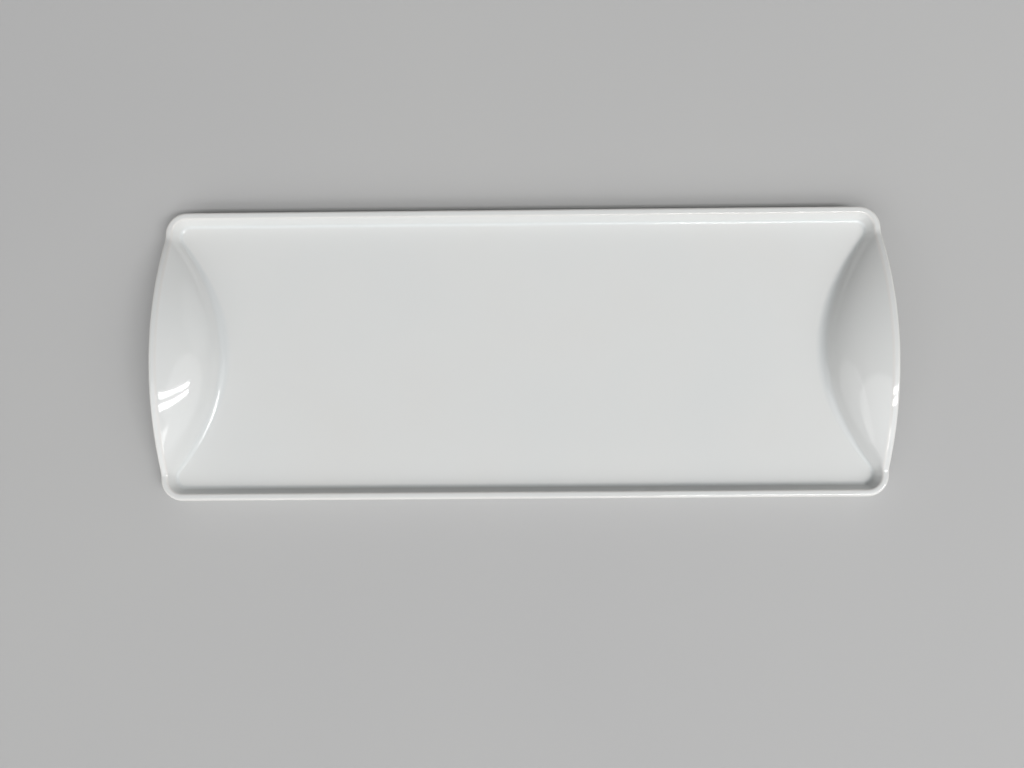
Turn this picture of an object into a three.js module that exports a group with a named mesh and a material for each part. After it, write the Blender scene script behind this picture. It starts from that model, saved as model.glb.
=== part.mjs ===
// A rectangular serving platter in glazed porcelain, in millimetres, +Z up, standing on Z = 0.
// Two low rims run along the sides, and each end sweeps up from the floor into an arched wing to lift it by.

import * as THREE from 'three';

// Plan
const platterLength = 374;
const platterWidth = 150;
const endBow = 1; // how far each end bulges beyond its corners
const floorCornerRadius = 3.5; // corner of the flat floor, where a rim meets an end

// Heights
const footHeight = 2.2;
const floorThickness = 4.2;
const rimRise = 5.8; // floor to the top of a side rim
const wingRise = 21; // floor to the top of a wing

// Side rim
const rimWidth = 3.6;
const rimWallRun = 2.6; // how far the inner wall leans out over its height
const rimFootReach = 1.6; // where the fillet at the foot of the wall ends, to either side
const rimHeelReach = 4; // where the rounding under the wall ends, to either side

// Wing
const wingDepth = 30.5; // edge to the crease in the floor, on the centre line
const wingTipGap = 0.5; // from the end of a corner to the point where the wing begins to rise
const wingFullness = 2; // power of the arch across the wing: 2 is a parabola, more is fuller
const wingTipEase = 0.12; // share of the arch over which it leaves the rim gently
const wingThickness = 4;
const wingFootReach = 4;
const wingHeelReach = 8;
const shoulderInset = 22; // edge to the shoulder where the slope eases off
const shoulderDrop = 6; // shoulder below the top of the wing

// Edge
const browReach = 1; // rounding between the inner wall and the top of the rim
const edgeReach = 1.6; // rounding on the outer top edge
const lipHeight = 3.2; // depth of the rounded outer edge
const lipReach = 1.6; // rounding below that edge

// Foot ring
const footSetback = 3; // from the end of the rounding under the wall to the ring
const footWidth = 4;
const footTaper = 0.5; // how much each side of the ring leans in over its height
const footEdge = 0.5; // bevel between the sides and the resting face
const footCornerRadius = 12;

// Glaze
const glazeThickness = 0.4;
const glazeLine = 0.8; // the foot is wiped bare below this height
const bondGap = 0.05; // clearance between the body and its glaze

// Steps round the loops and along the section
const endSteps = 18;
const cornerSteps = 5;
const sideSteps = 4;
const wallSteps = 6;
const roundSteps = 3;

const baseLevel = footHeight;
const floorLevel = baseLevel + floorThickness;
const floorReach = rimFootReach + rimWallRun + rimWidth; // outer edge to the flat floor, at a side
const cornerRadius = floorCornerRadius + floorReach;
const endRadius = ((platterWidth / 2) ** 2 + endBow ** 2) / (2 * endBow);
const wingHalfSpan = platterWidth / 2 - cornerRadius - wingTipGap;

const glazeMaterial = { color: 0xe8eae7, roughness: 0.08, metalness: 0 };
const bareMaterial = { color: 0xe4dccb, roughness: 0.75, metalness: 0 };

// Sections are drawn in a plane of their own: x is the distance out from the edge and y the height.
const at = (x, y) => new THREE.Vector2(x, y);
const between = (from, to, share) => from.clone().lerp(to, share);
const middle = (from, to) => from.clone().add(to).divideScalar(2);
const along = (from, towards, reach) => from.clone().add(towards.clone().sub(from).setLength(reach));

// The corner of a wall's far side, behind the corner of its near side.
function behindCorner(before, corner, after, thickness) {
  const arriving = corner.clone().sub(before).normalize();
  const leaving = after.clone().sub(corner).normalize();
  const halfway = arriving.clone().add(leaving).normalize();
  const stretch = thickness / halfway.dot(arriving);
  return at(corner.x + halfway.y * stretch, corner.y - halfway.x * stretch);
}

// The section through a side rim: a straight wall that leans out.
function rimSection() {
  const top = floorLevel + rimRise;
  const crease = at(-rimWidth - rimWallRun, floorLevel);
  const brow = at(-rimWidth, top);
  const floorPoint = at(crease.x - rimFootReach, floorLevel);
  const heel = behindCorner(floorPoint, crease, brow, floorThickness);
  const lip = at(0, top - lipHeight);
  return {
    crease,
    shoulder: middle(crease, brow),
    brow,
    edge: at(0, top),
    lip,
    underShoulder: middle(lip, heel),
    heel,
    footReach: rimFootReach,
    heelReach: rimHeelReach,
  };
}

// The section through the middle of a wing: a slope that rises steeply and eases off to a gentler grip.
function wingSection() {
  const top = floorLevel + wingRise;
  const crease = at(-wingDepth, floorLevel);
  const shoulder = at(-shoulderInset, top - shoulderDrop);
  const brow = at(-rimWidth, top);
  const floorPoint = at(crease.x - wingFootReach, floorLevel);
  return {
    crease,
    shoulder,
    brow,
    edge: at(0, top),
    lip: at(0, top - lipHeight),
    underShoulder: behindCorner(crease, shoulder, brow, wingThickness),
    heel: behindCorner(floorPoint, crease, shoulder, floorThickness),
    footReach: wingFootReach,
    heelReach: wingHeelReach,
  };
}

const rim = rimSection();
const wing = wingSection();

// The outline of the section at a given share of the way from rim to wing, from the floor round to the base.
function sectionCurves(lift) {
  const corner = (name) => between(rim[name], wing[name], lift);
  const reach = (name) => THREE.MathUtils.lerp(rim[name], wing[name], lift);
  const crease = corner('crease');
  const shoulder = corner('shoulder');
  const brow = corner('brow');
  const edge = corner('edge');
  const lip = corner('lip');
  const underShoulder = corner('underShoulder');
  const heel = corner('heel');

  const floorEnd = at(crease.x - reach('footReach'), crease.y);
  const wallStart = along(crease, shoulder, reach('footReach'));
  const wallEnd = along(brow, shoulder, browReach);
  const topStart = at(brow.x + browReach, brow.y);
  const topEnd = at(edge.x - edgeReach, edge.y);
  const edgeMiddle = middle(edge, lip);
  const underStart = along(lip, underShoulder, lipReach);
  const underEnd = along(heel, underShoulder, reach('heelReach'));
  const baseStart = at(heel.x - reach('heelReach'), heel.y);

  const bend = (from, control, to) => new THREE.QuadraticBezierCurve(from, control, to);
  return [
    [bend(floorEnd, crease, wallStart), roundSteps],
    [bend(wallStart, shoulder, wallEnd), wallSteps],
    [bend(wallEnd, brow, topStart), roundSteps],
    [new THREE.LineCurve(topStart, topEnd), 1],
    [bend(topEnd, edge, edgeMiddle), roundSteps],
    [bend(edgeMiddle, lip, underStart), roundSteps],
    [bend(underStart, underShoulder, underEnd), wallSteps],
    [bend(underEnd, heel, baseStart), roundSteps],
  ];
}

// Points along that outline, moved into the wall by the inset.
function sectionPoints(lift, inset) {
  const points = [];
  const add = (curve, share) => {
    const point = curve.getPoint(share);
    const tangent = curve.getTangent(share);
    points.push(at(point.x + tangent.y * inset, point.y - tangent.x * inset));
  };
  const curves = sectionCurves(lift);
  for (const [curve, steps] of curves) {
    for (let step = 0; step < steps; step += 1) add(curve, step / steps);
  }
  const [lastCurve] = curves.at(-1);
  add(lastCurve, 1);
  return points;
}

// Stations anticlockwise round a rectangle with round corners and bowed ends, each with its outward way.
function loopStations(halfLength, halfWidth, radius) {
  const endCentre = halfLength - endRadius;
  const cornerY = halfWidth - radius;
  const cornerX = endCentre + Math.sqrt((endRadius - radius) ** 2 - cornerY ** 2);
  const endAngle = Math.asin(cornerY / (endRadius - radius));
  const stations = [];

  const onArc = (centreX, centreY, arcRadius, angle) => {
    const outward = at(Math.cos(angle), Math.sin(angle));
    const point = at(centreX, centreY).addScaledVector(outward, arcRadius);
    stations.push({ point, outward });
  };
  // An end's stations crowd towards its corners, where the wing begins.
  const end = (facing, heading) => {
    for (let step = 1; step < endSteps; step += 1) {
      const angle = heading - endAngle * Math.cos((Math.PI * step) / endSteps);
      onArc(facing * endCentre, 0, endRadius, angle);
    }
  };
  const corner = (signX, signY, from, to) => {
    for (let step = 0; step <= cornerSteps; step += 1) {
      const angle = THREE.MathUtils.lerp(from, to, step / cornerSteps);
      onArc(signX * cornerX, signY * cornerY, radius, angle);
    }
  };
  const side = (sign) => {
    for (let step = 1; step < sideSteps; step += 1) {
      const x = sign * THREE.MathUtils.lerp(cornerX, -cornerX, step / sideSteps);
      stations.push({ point: at(x, sign * halfWidth), outward: at(0, sign) });
    }
  };

  const quarter = Math.PI / 2;
  end(1, 0);
  corner(1, 1, endAngle, quarter);
  side(1);
  corner(-1, 1, quarter, 2 * quarter - endAngle);
  end(-1, 2 * quarter);
  corner(-1, -1, 2 * quarter + endAngle, 3 * quarter);
  side(-1);
  corner(1, -1, 3 * quarter, 4 * quarter - endAngle);
  return stations;
}

const edgeStations = loopStations(platterLength / 2, platterWidth / 2, cornerRadius);

// How far up its wing a station lies: 1 on the centre line of an end, 0 from the wing's tips round the sides.
function liftAt(station) {
  const arch = Math.max(0, 1 - Math.abs(station.point.y / wingHalfSpan) ** wingFullness);
  const eased = arch < wingTipEase ? arch ** 2 / (2 * wingTipEase) : arch - wingTipEase / 2;
  return eased / (1 - wingTipEase / 2);
}

// The rings of the platter's surface, from the floor over the edge to the base, all moved in by the inset.
function surfaceRings(inset) {
  const columns = edgeStations.map((station) =>
    sectionPoints(liftAt(station), inset).map((spot) => {
      const plan = station.point.clone().addScaledVector(station.outward, spot.x);
      return new THREE.Vector3(plan.x, plan.y, spot.y);
    }),
  );
  return columns[0].map((_, row) => columns.map((column) => column[row]));
}

// A ring round the foot at a height, moved in from the foot's outer face.
function footRing(inset, height) {
  const halfLength = platterLength / 2 + wing.heel.x - wingHeelReach - footSetback;
  const halfWidth = platterWidth / 2 + rim.heel.x - rimHeelReach - footSetback;
  const stations = loopStations(halfLength - inset, halfWidth - inset, footCornerRadius - inset);
  return stations.map(({ point }) => new THREE.Vector3(point.x, point.y, height));
}

// The foot's two sides lean towards each other on the way down. A cover moves them out, as glaze does.
const footLean = (height) => footTaper * (1 - height / footHeight);
const footOutside = (height, cover) => footRing(footLean(height) - cover, height);
const footInside = (height, cover) => footRing(footWidth - footLean(height) + cover, height);

// Joins rings of points, in order, into a closed solid with a flat face on the first ring and on the last.
// Rings on the way back, behind a surface, are split along the other diagonal, so that both stay parallel.
function loft(rings, wayBack = rings.length) {
  const count = rings[0].length;
  const indices = [];
  for (let ring = 0; ring + 1 < rings.length; ring += 1) {
    for (let step = 0; step < count; step += 1) {
      const here = ring * count + step;
      const beside = ring * count + ((step + 1) % count);
      const onward = ring < wayBack;
      indices.push(here, here + count, onward ? beside + count : beside);
      indices.push(onward ? here : here + count, beside + count, beside);
    }
  }
  const flatFace = (ring) => THREE.ShapeUtils.triangulateShape(ring.map(({ x, y }) => at(x, y)), []);
  const lastStart = (rings.length - 1) * count;
  for (const [a, b, c] of flatFace(rings[0])) indices.push(a, b, c);
  for (const [a, b, c] of flatFace(rings.at(-1))) indices.push(lastStart + a, lastStart + c, lastStart + b);

  const geometry = new THREE.BufferGeometry().setFromPoints(rings.flat());
  geometry.setIndex(indices);
  geometry.computeVertexNormals();
  return geometry;
}

function piece(name, geometry, look) {
  const mesh = new THREE.Mesh(geometry, new THREE.MeshStandardMaterial(look));
  mesh.name = name;
  return mesh;
}

// The fired porcelain, thinner than the finished platter by its glaze, with the bare foot ring.
function porcelainBody() {
  const skin = glazeThickness + bondGap;
  const underside = baseLevel + skin;
  const rings = [
    ...surfaceRings(skin),
    footOutside(underside, 0),
    footOutside(footEdge, 0),
    footOutside(0, -footEdge),
    footInside(0, -footEdge),
    footInside(footEdge, 0),
    footInside(underside, 0),
  ];
  return piece('porcelain_body', loft(rings), bareMaterial);
}

// One coat of glaze over the face, the edge and the outside, as far as the line above the foot.
function glazeCoat() {
  const inner = baseLevel + glazeThickness;
  const outside = [
    ...surfaceRings(0),
    footOutside(baseLevel, bondGap + glazeThickness),
    footOutside(glazeLine, bondGap + glazeThickness),
    footOutside(glazeLine, bondGap),
    footOutside(inner, bondGap),
  ];
  const inside = surfaceRings(glazeThickness).reverse();
  return piece('glaze_coat', loft([...outside, ...inside], outside.length), glazeMaterial);
}

// The patch of glaze under the floor, inside the foot ring.
function baseGlaze() {
  const inner = baseLevel + glazeThickness;
  const rings = [
    footInside(inner, bondGap),
    footInside(glazeLine, bondGap),
    footInside(glazeLine, bondGap + glazeThickness),
    footInside(baseLevel, bondGap + glazeThickness),
  ];
  return piece('base_glaze', loft(rings), glazeMaterial);
}

const platter = new THREE.Group();
platter.add(porcelainBody(), glazeCoat(), baseGlaze());

export default platter;
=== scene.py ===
"""A glazed porcelain serving platter on a pale table, lit by a window and soft lights."""

import math

import bmesh
import bpy
import numpy as np
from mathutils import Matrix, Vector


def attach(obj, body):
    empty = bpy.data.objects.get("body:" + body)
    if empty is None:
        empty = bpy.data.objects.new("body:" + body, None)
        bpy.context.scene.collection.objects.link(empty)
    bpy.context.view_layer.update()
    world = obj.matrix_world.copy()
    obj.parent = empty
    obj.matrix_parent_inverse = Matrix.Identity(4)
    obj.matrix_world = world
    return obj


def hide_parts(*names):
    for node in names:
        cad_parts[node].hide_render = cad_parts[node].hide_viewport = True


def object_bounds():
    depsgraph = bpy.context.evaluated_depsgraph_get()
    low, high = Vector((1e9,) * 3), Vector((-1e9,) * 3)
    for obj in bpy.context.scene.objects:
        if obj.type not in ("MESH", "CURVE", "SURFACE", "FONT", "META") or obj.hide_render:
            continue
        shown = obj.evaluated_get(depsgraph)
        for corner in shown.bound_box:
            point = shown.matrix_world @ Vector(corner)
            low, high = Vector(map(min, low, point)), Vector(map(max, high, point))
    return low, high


MM = 0.001

# Plan
END_BOW = 1 * MM  # how far each end bulges beyond its corners
FLOOR_CORNER_RADIUS = 3.5 * MM  # corner of the flat floor, where a rim meets an end

# Heights
FOOT_HEIGHT = 2.2 * MM
FLOOR_THICKNESS = 4.2 * MM
RIM_RISE = 5.8 * MM  # floor to the top of a side rim
FLOOR_DISH = 0.25 * MM  # how far the floor sank in the kiln

# Side rim
RIM_WIDTH = 3.6 * MM
RIM_WALL_RUN = 2.6 * MM  # how far the inner wall leans out over its height
RIM_FOOT_REACH = 1.6 * MM  # where the fillet at the foot of the wall ends, to either side
RIM_HEEL_REACH = 4 * MM  # where the rounding under the wall ends, to either side
RIM_UNDER_SHOULDER = 0.4  # share of the way from the lip down to the heel

# Wing
WING_DEPTH = 30.5 * MM  # edge to the crease in the floor, on the centre line
WING_TIP_GAP = 0.5 * MM  # from the end of a corner to the point where the wing begins to rise
WING_FULLNESS = 2  # power of the arch across the wing: 2 is a parabola, more is fuller
WING_TIP_EASE = 0.12  # share of the arch over which it leaves the rim gently
WING_THICKNESS = 4 * MM
WING_FOOT_REACH = 4 * MM
WING_HEEL_REACH = 8 * MM
SHOULDER_INSET = 22 * MM  # edge to the shoulder where the slope eases off
SHOULDER_DROP = 6 * MM  # shoulder below the top of the wing

# Edge
BROW_REACH = 1 * MM  # rounding between the inner wall and the top of the rim
EDGE_REACH = 1.6 * MM  # rounding on the outer top edge
LIP_HEIGHT = 3.2 * MM  # depth of the rounded outer edge
LIP_REACH = 1.6 * MM  # rounding below that edge

# Foot ring
FOOT_SETBACK = 3 * MM  # from the end of the rounding under the wall to the ring
FOOT_WIDTH = 4 * MM
FOOT_TAPER = 0.5 * MM  # how much each side of the ring leans in over its height
FOOT_EDGE = 0.5 * MM  # bevel between the sides and the resting face
FOOT_CORNER_RADIUS = 12 * MM

# Glaze
GLAZE_THICKNESS = 0.4 * MM
GLAZE_LINE = 0.8 * MM  # the foot is wiped bare below this height
FOOT_FILLET = 0.8 * MM  # radius of the glaze that pools between the base and the foot
BOND_GAP = 0.05 * MM  # clearance between the body and its glaze

# Steps round the loops and along the section
END_STEPS = 96
CORNER_STEPS = 20
SIDE_STEPS = 60
WALL_STEPS = 24
ROUND_STEPS = 10
FLOOR_STEPS = 12
FOOT_STEPS = 6
HIDDEN_RINGS = 4  # one ring in so many is enough where glaze hides the surface
SAME_POINT = 0.001 * MM  # points closer than this are merged

# Camera, found from the platter's outline in the photograph, its lens and sensor in millimetres
LENS = 28
SENSOR_WIDTH = 36
CAMERA_PLACE = (-1.27 * MM, -39.8 * MM, 421 * MM)
CAMERA_TILT = math.radians(3.30)
CAMERA_LEAN = math.radians(0.591)
CAMERA_ROLL = math.radians(-0.423)

# Window panes as the platter sees them, between slopes of x and y per unit of height
WINDOW_HEIGHT = 4  # metres
WINDOW_PANES = [
    {"slopes_x": (0.2, 1.05), "slopes_y": (-0.335, -0.28), "radiance": 24},
    {"slopes_x": (0.2, 1.05), "slopes_y": (-0.46, -0.395), "radiance": 24},
    {"slopes_x": (0.1, 0.5), "slopes_y": (-1, -0.7), "radiance": 4.5},
]

# Round lights far away, with their tilt from overhead, their turn from +X and their radius in degrees
SOFT_LIGHTS = {
    "front_left": {"tilt": 44, "turn": 245, "radius": 30, "radiance": 1.4},
    "low_left": {"tilt": 67, "turn": 205, "radius": 22, "radiance": 0.92},
    "right": {"tilt": 48, "turn": 335, "radius": 24, "radiance": 1.03},
    "low_right": {"tilt": 64, "turn": 28, "radius": 20, "radiance": 0.52},
}
ROOM_LIGHT = (0.02, 0.02, 0.02)

# Looks: a scale is in repeats a metre
NOISE_RANGE = (0.2, 0.8)  # between which nearly all the values of a noise lie
THIN_GLAZE = (0.79, 0.78, 0.76)
EVEN_GLAZE = (0.8, 0.81, 0.8)
POOLED_GLAZE = (0.765, 0.79, 0.79)
GLAZE_MOTTLE = {"scale": 14, "detail": 2, "values": (-0.375, 0.375)}
GLAZE_ROUGHNESS = {"scale": 60, "detail": 4, "values": (0.04, 0.1)}
GLAZE_WAVES = {"scale": 120, "detail": 1, "values": (0, 1)}
GLAZE_WAVE_HEIGHT = 0.012 * MM
CLEAN_PORCELAIN = (0.76, 0.73, 0.67)
GREY_PORCELAIN = (0.69, 0.66, 0.6)
WORN_PORCELAIN = (0.55, 0.53, 0.5)
BARE_GRAIN = {"scale": 900, "detail": 3, "values": (-0.1, 0.6)}
BARE_PITS = {"scale": 1500, "detail": 2, "values": (0, 1)}
BARE_PIT_DEPTH = 0.018 * MM
BARE_ROUGHNESS = 0.75
FOOT_WEAR = 0.5  # share of the way to the worn colour where the foot meets the table
TABLE_HALF_WIDTH = 6  # metres
TABLE_PALE = (0.55, 0.55, 0.545)
TABLE_DARK = (0.53, 0.53, 0.53)
TABLE_CLOUDS = {"scale": 3, "detail": 3, "values": (-0.25, 1.25)}
TABLE_ROUGHNESS = 0.9

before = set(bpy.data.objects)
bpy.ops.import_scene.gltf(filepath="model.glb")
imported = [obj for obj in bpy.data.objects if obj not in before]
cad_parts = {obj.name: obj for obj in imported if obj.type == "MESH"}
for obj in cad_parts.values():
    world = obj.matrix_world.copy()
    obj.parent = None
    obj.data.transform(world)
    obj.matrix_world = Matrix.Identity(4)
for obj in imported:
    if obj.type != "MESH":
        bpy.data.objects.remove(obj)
cad_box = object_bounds()
half_length = cad_box[1].x
half_width = cad_box[1].y
floor_level = FOOT_HEIGHT + FLOOR_THICKNESS
rim_top = floor_level + RIM_RISE
wing_top = cad_box[1].z
corner_radius = FLOOR_CORNER_RADIUS + RIM_FOOT_REACH + RIM_WALL_RUN + RIM_WIDTH
end_radius = (half_width**2 + END_BOW**2) / (2 * END_BOW)
wing_half_span = half_width - corner_radius - WING_TIP_GAP
ridge = half_length - WING_DEPTH - half_width  # half of the middle line that a floor's rings spread from
glaze_cover = BOND_GAP + GLAZE_THICKNESS


# Sections: x is the distance out from the edge and y the height.


def at(x, y):
    return np.array([x, y])


def lengths(vectors):
    return np.linalg.norm(vectors, axis=-1, keepdims=True)


def along(start, towards, reach):
    """The point a given reach from the start on the way towards another point."""
    way = towards - start
    return start + way / lengths(way) * reach


def behind_corner(before, corner, after, thickness):
    """The corner of a wall's far side, behind the corner of its near side."""
    arriving = (corner - before) / lengths(corner - before)
    leaving = (after - corner) / lengths(after - corner)
    halfway = (arriving + leaving) / lengths(arriving + leaving)
    stretch = thickness / halfway.dot(arriving)
    return at(corner[0] + halfway[1] * stretch, corner[1] - halfway[0] * stretch)


def rim_section():
    """Corners of the section through a side rim, a straight wall that leans out."""
    crease = at(-RIM_WIDTH - RIM_WALL_RUN, floor_level)
    brow = at(-RIM_WIDTH, rim_top)
    lip = at(0, rim_top - LIP_HEIGHT)
    heel = behind_corner(crease - at(RIM_FOOT_REACH, 0), crease, brow, FLOOR_THICKNESS)
    return {
        "crease": crease,
        "shoulder": (crease + brow) / 2,
        "brow": brow,
        "edge": at(0, rim_top),
        "lip": lip,
        "under_shoulder": lip + (heel - lip) * RIM_UNDER_SHOULDER,
        "heel": heel,
        "foot_reach": RIM_FOOT_REACH,
        "heel_reach": RIM_HEEL_REACH,
    }


def wing_section():
    """Corners of the section through the middle of a wing, a slope that eases off to a gentler grip."""
    crease = at(-WING_DEPTH, floor_level)
    shoulder = at(-SHOULDER_INSET, wing_top - SHOULDER_DROP)
    brow = at(-RIM_WIDTH, wing_top)
    floor_point = crease - at(WING_FOOT_REACH, 0)
    return {
        "crease": crease,
        "shoulder": shoulder,
        "brow": brow,
        "edge": at(0, wing_top),
        "lip": at(0, wing_top - LIP_HEIGHT),
        "under_shoulder": behind_corner(crease, shoulder, brow, WING_THICKNESS),
        "heel": behind_corner(floor_point, crease, shoulder, FLOOR_THICKNESS),
        "foot_reach": WING_FOOT_REACH,
        "heel_reach": WING_HEEL_REACH,
    }


rim = rim_section()
wing = wing_section()


def section_bends(lift):
    """The outline at each share of the way from rim to wing, from the floor round to the base.

    Each bend is (start, control, end, steps, glaze): glaze is 1 where it pools and -1 where it runs thin.
    """
    share = lift[:, None]
    corner = {name: rim[name] + (wing[name] - rim[name]) * share for name in rim}
    crease = corner["crease"]
    shoulder = corner["shoulder"]
    brow = corner["brow"]
    edge = corner["edge"]
    lip = corner["lip"]
    under_shoulder = corner["under_shoulder"]
    heel = corner["heel"]

    floor_end = crease - corner["foot_reach"] * at(1, 0)
    wall_start = along(crease, shoulder, corner["foot_reach"])
    wall_end = along(brow, shoulder, BROW_REACH)
    top_start = brow + at(BROW_REACH, 0)
    top_end = edge - at(EDGE_REACH, 0)
    edge_middle = (edge + lip) / 2
    under_start = along(lip, under_shoulder, LIP_REACH)
    under_end = along(heel, under_shoulder, corner["heel_reach"])
    base_start = heel - corner["heel_reach"] * at(1, 0)
    return [
        (floor_end, crease, wall_start, ROUND_STEPS, 1),
        (wall_start, shoulder, wall_end, WALL_STEPS, 0),
        (wall_end, brow, top_start, ROUND_STEPS, -1),
        (top_start, (top_start + top_end) / 2, top_end, ROUND_STEPS, 0),
        (top_end, edge, edge_middle, ROUND_STEPS, -1),
        (edge_middle, lip, under_start, ROUND_STEPS, -1),
        (under_start, under_shoulder, under_end, WALL_STEPS, 0),
        (under_end, heel, base_start, ROUND_STEPS, 0),
    ]


def section_points(lift, inset):
    """Points along those outlines, moved into the wall, as stations by points by (x, y, glaze)."""
    columns = []
    for start, control, end, steps, glaze in section_bends(lift):
        for share in np.arange(steps) / steps:
            point = start * (1 - share) ** 2 + control * 2 * share * (1 - share) + end * share**2
            tangent = (control - start) * (1 - share) + (end - control) * share
            tangent = tangent / lengths(tangent)
            inward = np.stack([tangent[:, 1], -tangent[:, 0]], axis=1)
            depth = np.full((len(lift), 1), glaze * math.sin(math.pi * share))
            columns.append(np.hstack([point + inward * inset, depth]))
    flat_end = np.hstack([end + at(0, inset), np.zeros((len(lift), 1))])
    columns.append(flat_end)
    return np.stack(columns, axis=1)


# Loops round the platter


def arc(centre_x, centre_y, radius, angles):
    """Stations on an arc, as rows of (x, y, outward x, outward y)."""
    outward = np.stack([np.cos(angles), np.sin(angles)], axis=1)
    return np.hstack([at(centre_x, centre_y) + outward * radius, outward])


def loop_stations(loop_half_length, loop_half_width, radius):
    """Stations anticlockwise round a rectangle with round corners and bowed ends."""
    end_centre = loop_half_length - end_radius
    corner_y = loop_half_width - radius
    corner_x = end_centre + math.sqrt((end_radius - radius) ** 2 - corner_y**2)
    end_angle = math.asin(corner_y / (end_radius - radius))
    crowded = -np.cos(np.pi * np.arange(1, END_STEPS) / END_STEPS)
    end = arc(end_centre, 0, end_radius, end_angle * crowded)
    corner = arc(corner_x, corner_y, radius, np.linspace(end_angle, np.pi / 2, CORNER_STEPS + 1))
    side_x = np.linspace(corner_x, -corner_x, SIDE_STEPS + 1)[1:-1]
    side = np.array([(x, loop_half_width, 0, 1) for x in side_x])
    other_corner = corner[::-1] * (-1, 1, -1, 1)
    half = np.vstack([end, corner, side, other_corner])
    return np.vstack([half, -half])


def wing_lift(stations):
    """How far up its wing each station lies: an arch across each end, whose start at the tips is eased."""
    arch = np.maximum(0, 1 - np.abs(stations[:, 1] / wing_half_span) ** WING_FULLNESS)
    eased = np.where(arch < WING_TIP_EASE, arch**2 / (2 * WING_TIP_EASE), arch - WING_TIP_EASE / 2)
    return eased / (1 - WING_TIP_EASE / 2)


edge_stations = loop_stations(half_length, half_width, corner_radius)
edge_lift = wing_lift(edge_stations)


def surface_rings(inset):
    """Rings of (x, y, z, glaze) on the platter's surface, from the floor over the edge to the base."""
    spots = section_points(edge_lift, inset)
    plan = edge_stations[:, None, :2] + edge_stations[:, None, 2:] * spots[:, :, :1]
    return list(np.concatenate([plan, spots[:, :, 1:]], axis=2).transpose(1, 0, 2))


def floor_rings(edge_ring, dish):
    """Rings from the middle line of a floor out to the ring at its edge, which isn't repeated."""
    middle = edge_ring * (1, 0, 1, 1)
    middle[:, 0] = np.clip(middle[:, 0], -ridge, ridge)
    reach = np.abs(edge_ring[:, :2]).max(axis=0)
    rings = []
    for share in np.arange(FLOOR_STEPS) / FLOOR_STEPS:
        ring = middle + (edge_ring - middle) * share
        sunk = np.prod(1 - (ring[:, :2] / reach) ** 2, axis=1)
        ring[:, 2] -= dish * sunk**2
        rings.append(ring)
    return rings


def foot_ring(inset, height):
    """A ring round the foot at a height, moved in from the foot's outer face."""
    foot_half_length = half_length + wing["heel"][0] - WING_HEEL_REACH - FOOT_SETBACK - inset
    foot_half_width = half_width + rim["heel"][0] - RIM_HEEL_REACH - FOOT_SETBACK - inset
    stations = loop_stations(foot_half_length, foot_half_width, FOOT_CORNER_RADIUS - inset)
    plain = np.zeros(len(stations))
    return np.stack([stations[:, 0], stations[:, 1], plain + height, plain], axis=1)


def foot_lean(height):
    return FOOT_TAPER * (1 - height / FOOT_HEIGHT)


def foot_outside(height, cover):
    return foot_ring(foot_lean(height) - cover, height)


def foot_inside(height, cover):
    return foot_ring(FOOT_WIDTH - foot_lean(height) + cover, height)


def glazed_foot(side):
    """Rings where the glaze turns from the base onto one side of the foot and ends in a round bead."""
    turns = np.linspace(0, math.pi / 2, FOOT_STEPS + 1)
    rings = []
    for turn in turns:
        drop = FOOT_FILLET * (1 - math.cos(turn))
        rings.append(side(FOOT_HEIGHT - drop, glaze_cover + FOOT_FILLET * (1 - math.sin(turn))))
    for turn in turns:
        height = GLAZE_LINE + GLAZE_THICKNESS * (1 - math.sin(turn))
        rings.append(side(height, BOND_GAP + GLAZE_THICKNESS * math.cos(turn)))
    return rings


# Pieces


def loft_mesh(name, rings, material, node):
    """A closed piece skinned over rings, whose first and last rings lie folded on a middle line."""
    count = len(rings[0])
    points = np.vstack(rings)
    faces = []
    for ring in range(len(rings) - 1):
        for step in range(count):
            here = ring * count + step
            beside = ring * count + (step + 1) % count
            faces.append((here, here + count, beside + count, beside))
    mesh = bpy.data.meshes.new(name)
    mesh.from_pydata(points[:, :3].tolist(), [], faces)
    depth = mesh.attributes.new("glaze_depth", "FLOAT", "POINT")
    depth.data.foreach_set("value", points[:, 3])
    close_seams(mesh)
    mesh.polygons.foreach_set("use_smooth", [True] * len(mesh.polygons))
    mesh.materials.append(material)
    piece = bpy.data.objects.new(name, mesh)
    bpy.context.scene.collection.objects.link(piece)
    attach(piece, "root")
    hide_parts(node)


def close_seams(mesh):
    """Merges the points that meet on the middle lines, and faces everything out."""
    work = bmesh.new()
    work.from_mesh(mesh)
    bmesh.ops.remove_doubles(work, verts=work.verts, dist=SAME_POINT)
    bmesh.ops.recalc_face_normals(work, faces=work.faces)
    work.to_mesh(mesh)
    work.free()


def glazed_skin(material):
    """The coat of glaze over the face, the edge and the outside, as far as the line above the foot."""
    outside = surface_rings(0)
    inside = surface_rings(GLAZE_THICKNESS)[::HIDDEN_RINGS]
    rings = [
        *floor_rings(outside[0], FLOOR_DISH),
        *outside,
        *glazed_foot(foot_outside),
        foot_outside(FOOT_HEIGHT + GLAZE_THICKNESS, BOND_GAP),
        *inside[::-1],
        *floor_rings(inside[0], FLOOR_DISH)[::-1],
    ]
    loft_mesh("glazed_skin", rings, material, "glaze_coat")


def fired_body(material):
    """The fired porcelain under the glaze, with the bare foot ring."""
    underside = FOOT_HEIGHT + glaze_cover
    surface = surface_rings(glaze_cover)[::HIDDEN_RINGS]
    inner = foot_inside(underside, 0)
    rings = [
        *floor_rings(surface[0], FLOOR_DISH),
        *surface,
        foot_outside(underside, 0),
        foot_outside(FOOT_EDGE, 0),
        foot_outside(0, -FOOT_EDGE),
        foot_inside(0, -FOOT_EDGE),
        foot_inside(FOOT_EDGE, 0),
        inner,
        *floor_rings(inner, 0)[::-1],
    ]
    loft_mesh("fired_body", rings, material, "porcelain_body")


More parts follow.
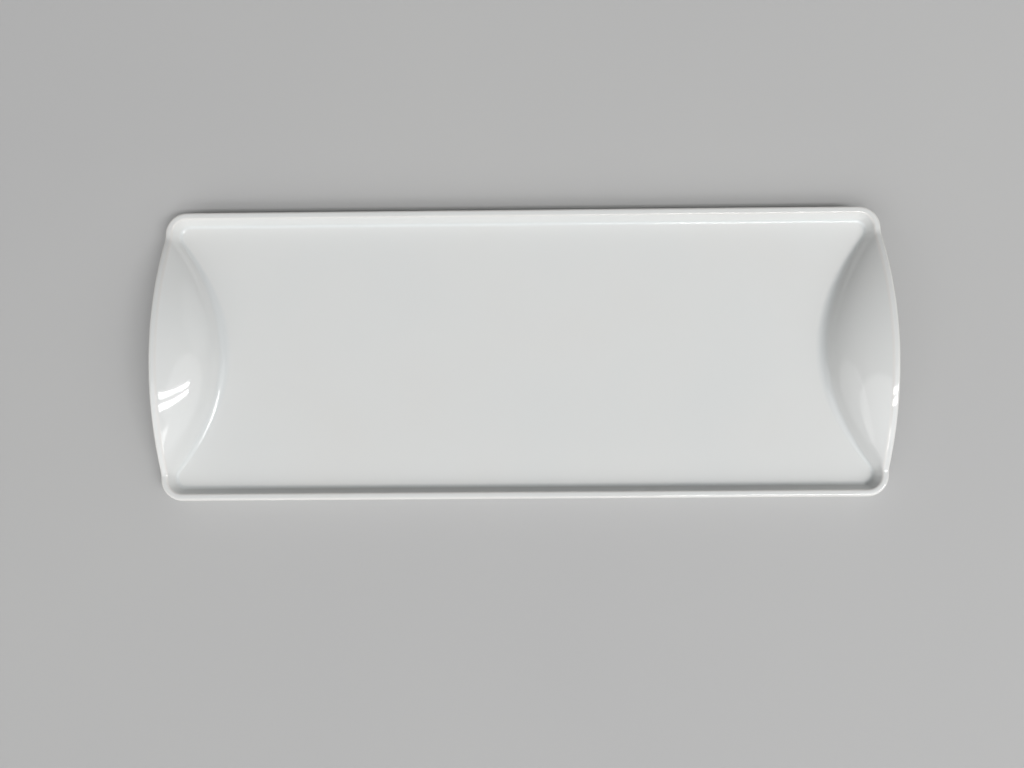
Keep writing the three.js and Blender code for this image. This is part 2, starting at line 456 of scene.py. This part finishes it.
def glazed_base(material):
    """The patch of glaze under the floor, inside the foot ring."""
    top = foot_inside(FOOT_HEIGHT + GLAZE_THICKNESS, BOND_GAP)
    onto_foot = glazed_foot(foot_inside)[::-1]
    rings = [*floor_rings(top, 0), top, *onto_foot, *floor_rings(onto_foot[-1], 0)[::-1]]
    loft_mesh("glazed_base", rings, material, "base_glaze")


# Materials


def new_material(name):
    """A material with its node tree, its principled shader and the place on the object that is shaded."""
    material = bpy.data.materials.new(name)
    material.use_nodes = True
    tree = material.node_tree
    place = tree.nodes.new("ShaderNodeTexCoord").outputs["Object"]
    return material, tree, tree.nodes["Principled BSDF"], place


def remap(tree, value, before, after):
    """A value moved from one range to another, and kept within it."""
    node = tree.nodes.new("ShaderNodeMapRange")
    node.inputs["From Min"].default_value, node.inputs["From Max"].default_value = before
    node.inputs["To Min"].default_value, node.inputs["To Max"].default_value = after
    tree.links.new(value, node.inputs["Value"])
    return node.outputs["Result"]


def noise(tree, place, scale, detail, values):
    """Noise spread over the given values."""
    node = tree.nodes.new("ShaderNodeTexNoise")
    node.inputs["Scale"].default_value = scale
    node.inputs["Detail"].default_value = detail
    tree.links.new(place, node.inputs["Vector"])
    return remap(tree, node.outputs["Fac"], NOISE_RANGE, values)


def total(tree, one, other):
    node = tree.nodes.new("ShaderNodeMath")
    node.operation = "ADD"
    tree.links.new(one, node.inputs[0])
    tree.links.new(other, node.inputs[1])
    return node.outputs["Value"]


def ramp(tree, value, colours):
    """A colour from a list that is spread evenly over a value from 0 to 1."""
    node = tree.nodes.new("ShaderNodeValToRGB")
    stops = node.color_ramp.elements
    last = len(colours) - 1
    stops[0].color = (*colours[0], 1)
    stops[1].color = (*colours[last], 1)
    for index in range(1, last):
        stops.new(index / last).color = (*colours[index], 1)
    tree.links.new(value, node.inputs["Fac"])
    return node.outputs["Color"]


def bump(tree, height, distance, shader):
    node = tree.nodes.new("ShaderNodeBump")
    node.inputs["Strength"].default_value = 1
    node.inputs["Distance"].default_value = distance
    tree.links.new(height, node.inputs["Height"])
    tree.links.new(node.outputs["Normal"], shader.inputs["Normal"])


def glaze_material():
    """Clear glaze on white porcelain: faintly wavy, cooler where it pools and warmer where it runs thin."""
    material, tree, shader, place = new_material("white_glaze")
    depth = tree.nodes.new("ShaderNodeAttribute")
    depth.attribute_name = "glaze_depth"
    mottled_depth = total(tree, depth.outputs["Fac"], noise(tree, place, **GLAZE_MOTTLE))
    share = remap(tree, mottled_depth, (-1, 1), (0, 1))
    colour = ramp(tree, share, [THIN_GLAZE, EVEN_GLAZE, POOLED_GLAZE])
    tree.links.new(colour, shader.inputs["Base Color"])
    tree.links.new(noise(tree, place, **GLAZE_ROUGHNESS), shader.inputs["Roughness"])
    bump(tree, noise(tree, place, **GLAZE_WAVES), GLAZE_WAVE_HEIGHT, shader)
    return material


def bare_material():
    """Unglazed fired porcelain, dry and finely grained, and worn grey where it stands on the table."""
    material, tree, shader, place = new_material("bare_porcelain")
    axes = tree.nodes.new("ShaderNodeSeparateXYZ")
    tree.links.new(place, axes.inputs["Vector"])
    wear = remap(tree, axes.outputs["Z"], (0, FOOT_EDGE), (FOOT_WEAR, 0))
    share = total(tree, noise(tree, place, **BARE_GRAIN), wear)
    colour = ramp(tree, share, [CLEAN_PORCELAIN, GREY_PORCELAIN, WORN_PORCELAIN])
    tree.links.new(colour, shader.inputs["Base Color"])
    shader.inputs["Roughness"].default_value = BARE_ROUGHNESS
    bump(tree, noise(tree, place, **BARE_PITS), BARE_PIT_DEPTH, shader)
    return material


def table_material():
    """A plain pale matt table top."""
    material, tree, shader, place = new_material("pale_table")
    colour = ramp(tree, noise(tree, place, **TABLE_CLOUDS), [TABLE_PALE, TABLE_DARK])
    tree.links.new(colour, shader.inputs["Base Color"])
    shader.inputs["Roughness"].default_value = TABLE_ROUGHNESS
    return material


# Stage


def table(material):
    half = TABLE_HALF_WIDTH
    corners = [(-half, -half, 0), (half, -half, 0), (half, half, 0), (-half, half, 0)]
    mesh = bpy.data.meshes.new("table")
    mesh.from_pydata(corners, [], [(0, 1, 2, 3)])
    mesh.materials.append(material)
    top = bpy.data.objects.new("table", mesh)
    bpy.context.scene.collection.objects.link(top)


def add_light(name, light):
    lamp = bpy.data.objects.new(name, light)
    bpy.context.scene.collection.objects.link(lamp)
    return lamp


def window_pane(slopes_x, slopes_y, radiance):
    """A level pane overhead, between the slopes that it is seen at."""
    light = bpy.data.lights.new("window_pane", "AREA")
    light.shape = "RECTANGLE"
    light.size = (slopes_x[1] - slopes_x[0]) * WINDOW_HEIGHT
    light.size_y = (slopes_y[1] - slopes_y[0]) * WINDOW_HEIGHT
    light.energy = radiance * math.pi * light.size * light.size_y
    lamp = add_light("window_pane", light)
    lamp.location = (sum(slopes_x) / 2 * WINDOW_HEIGHT, sum(slopes_y) / 2 * WINDOW_HEIGHT, WINDOW_HEIGHT)


def soft_light(name, tilt, turn, radius, radiance):
    """A round soft light that is far away."""
    light = bpy.data.lights.new(name, "SUN")
    light.angle = 2 * math.radians(radius)
    light.energy = radiance * math.pi * math.sin(math.radians(radius)) ** 2
    lamp = add_light(name, light)
    lamp.rotation_euler = (0, math.radians(tilt), math.radians(turn))


def surroundings():
    """A dim room, so that the lights make the shading."""
    world = bpy.data.worlds.new("room")
    world.use_nodes = True
    world.node_tree.nodes["Background"].inputs["Color"].default_value = (*ROOM_LIGHT, 1)
    bpy.context.scene.world = world


def camera():
    data = bpy.data.cameras.new("camera")
    data.lens = LENS
    data.sensor_width = SENSOR_WIDTH
    viewer = bpy.data.objects.new("camera", data)
    viewer.location = CAMERA_PLACE
    viewer.rotation_mode = "ZXY"
    viewer.rotation_euler = (CAMERA_TILT, CAMERA_LEAN, CAMERA_ROLL)
    bpy.context.scene.collection.objects.link(viewer)
    bpy.context.scene.camera = viewer


glaze = glaze_material()
bare = bare_material()
glazed_skin(glaze)
fired_body(bare)
glazed_base(glaze)
table(table_material())
for pane_setup in WINDOW_PANES:
    window_pane(**pane_setup)
for light_name, light_setup in SOFT_LIGHTS.items():
    soft_light(light_name, **light_setup)
surroundings()
camera()
bpy.context.scene.view_settings.view_transform = "Standard"
